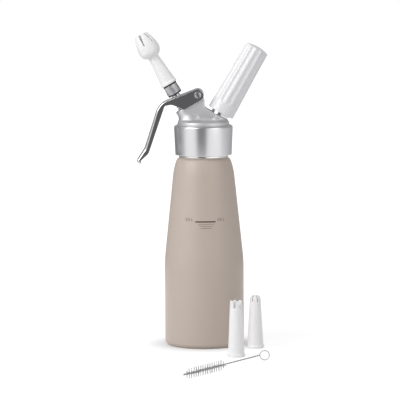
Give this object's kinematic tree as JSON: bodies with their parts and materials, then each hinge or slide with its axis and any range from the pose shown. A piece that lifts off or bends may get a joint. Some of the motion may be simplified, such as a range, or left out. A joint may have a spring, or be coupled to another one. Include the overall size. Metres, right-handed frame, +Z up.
{
  "type": "whipped cream dispenser",
  "caption": "Pressure bottle with a screwed cast head, a lever-worked valve under a decorating tip, a screwed gas charger holder, spare tips and a cleaning brush.",
  "frame": {"origin": "centre of the bottle's foot, on the surface that it stands on", "axes": "+Z up the bottle; the charger holder leans towards +X, the decorating tip and the lever towards -X; the front is -Y"},
  "size_m": [0.133, 0.2618, 0.3174],
  "materials": {
    "bottle_coat": "satin taupe powder coat",
    "head_casting": "turned collar, bead-blasted casting",
    "lever_steel": "polished stainless sheet",
    "turned_steel": "turned stainless",
    "knurled_steel": "straight-knurled, nickel plated",
    "spring_steel": "bright spring wire",
    "charger_steel": "bright plated steel",
    "brush_wire_steel": "twisted galvanised wire",
    "tip_plastic": "moulded white polypropylene",
    "holder_plastic": "moulded gloss white ABS",
    "acetal": "turned white acetal",
    "nylon_bristles": "nylon",
    "silicone": "silicone",
    "black_rubber": "nitrile rubber"
  },
  "bodies": {
    "bottle": {"bottle": "bottle_coat"},
    "gasket": {"head_gasket": "silicone"},
    "head": {"head": "head_casting", "lever_pin": "turned_steel", "pin_clip": "spring_steel", "charger_stud": "turned_steel", "stud_ring": "black_rubber", "piercing_needle": "turned_steel", "needle_seal": "black_rubber", "non_return_sleeve": "black_rubber", "spindle_o_ring": "black_rubber", "spindle_bush": "acetal"},
    "valve": {"valve_spindle": "turned_steel", "spindle_collet": "turned_steel", "valve_poppet": "turned_steel", "valve_seal": "black_rubber", "valve_spring": "spring_steel", "tip_adaptor": "knurled_steel"},
    "tip_ring": {"tip_seal": "black_rubber"},
    "tip": {"tulip_tip": "tip_plastic"},
    "lever": {"lever": "lever_steel"},
    "charger": {"gas_charger": "charger_steel"},
    "holder": {"charger_holder": "holder_plastic"},
    "slotted_tip": {"slotted_tip": "tip_plastic"},
    "star_tip": {"star_tip": "tip_plastic"},
    "brush": {"brush_wire": "brush_wire_steel", "brush_bristles": "nylon_bristles"}
  },
  "joints": [
    {"name": "head_rise", "type": "slide", "parent": "bottle", "child": "gasket", "axis": [0, 0, 1], "range_m": [0, 0.03]},
    {"name": "head_turn", "type": "hinge", "parent": "gasket", "child": "head", "pos_m": [0, 0, 0.2146], "axis": [0, 0, 1], "range_deg": [0, 1800]},
    {"name": "lever_press", "type": "hinge", "parent": "head", "child": "lever", "pos_m": [-0.00551, 0, 0.25395], "axis": [0, -1, 0], "range_deg": [0, 8]},
    {"name": "valve_travel", "type": "slide", "parent": "head", "child": "valve", "axis": [0.5, 0, -0.866], "range_m": [0, 0.00296], "stiffness_N_per_m": 800, "springref_m": -0.003, "deforming": ["valve_spring"]},
    {"name": "tip_rise", "type": "slide", "parent": "valve", "child": "tip_ring", "axis": [-0.5, 0, 0.866], "range_m": [0, 0.012]},
    {"name": "tip_turn", "type": "hinge", "parent": "tip_ring", "child": "tip", "pos_m": [-0.03415, 0, 0.26455], "axis": [-0.5, 0, 0.866], "range_deg": [0, 2160]},
    {"name": "holder_rise", "type": "slide", "parent": "head", "child": "charger", "axis": [0.5, 0, 0.866], "range_m": [0, 0.018]},
    {"name": "holder_turn", "type": "hinge", "parent": "charger", "child": "holder", "pos_m": [0.0175, 0, 0.23571], "axis": [0.5, 0, 0.866], "range_deg": [0, 2160]},
    {"name": "slotted_tip_lift", "type": "slide", "parent": "bottle", "child": "slotted_tip", "axis": [0, 0, 1], "range_m": [0, 0.06]},
    {"name": "star_tip_lift", "type": "slide", "parent": "bottle", "child": "star_tip", "axis": [0, 0, 1], "range_m": [0, 0.06]},
    {"name": "brush_lift", "type": "slide", "parent": "bottle", "child": "brush", "axis": [0, 0, 1], "range_m": [0, 0.04]}
  ],
  "couplings": [
    {"joint": "head_rise", "follows": "head_turn", "m_per_rad": 0.00095493},
    {"joint": "lever_press", "follows": "valve_travel", "rad_per_m": 47.17},
    {"joint": "tip_rise", "follows": "tip_turn", "m_per_rad": 0.00031831},
    {"joint": "holder_rise", "follows": "holder_turn", "m_per_rad": 0.00047746}
  ]
}
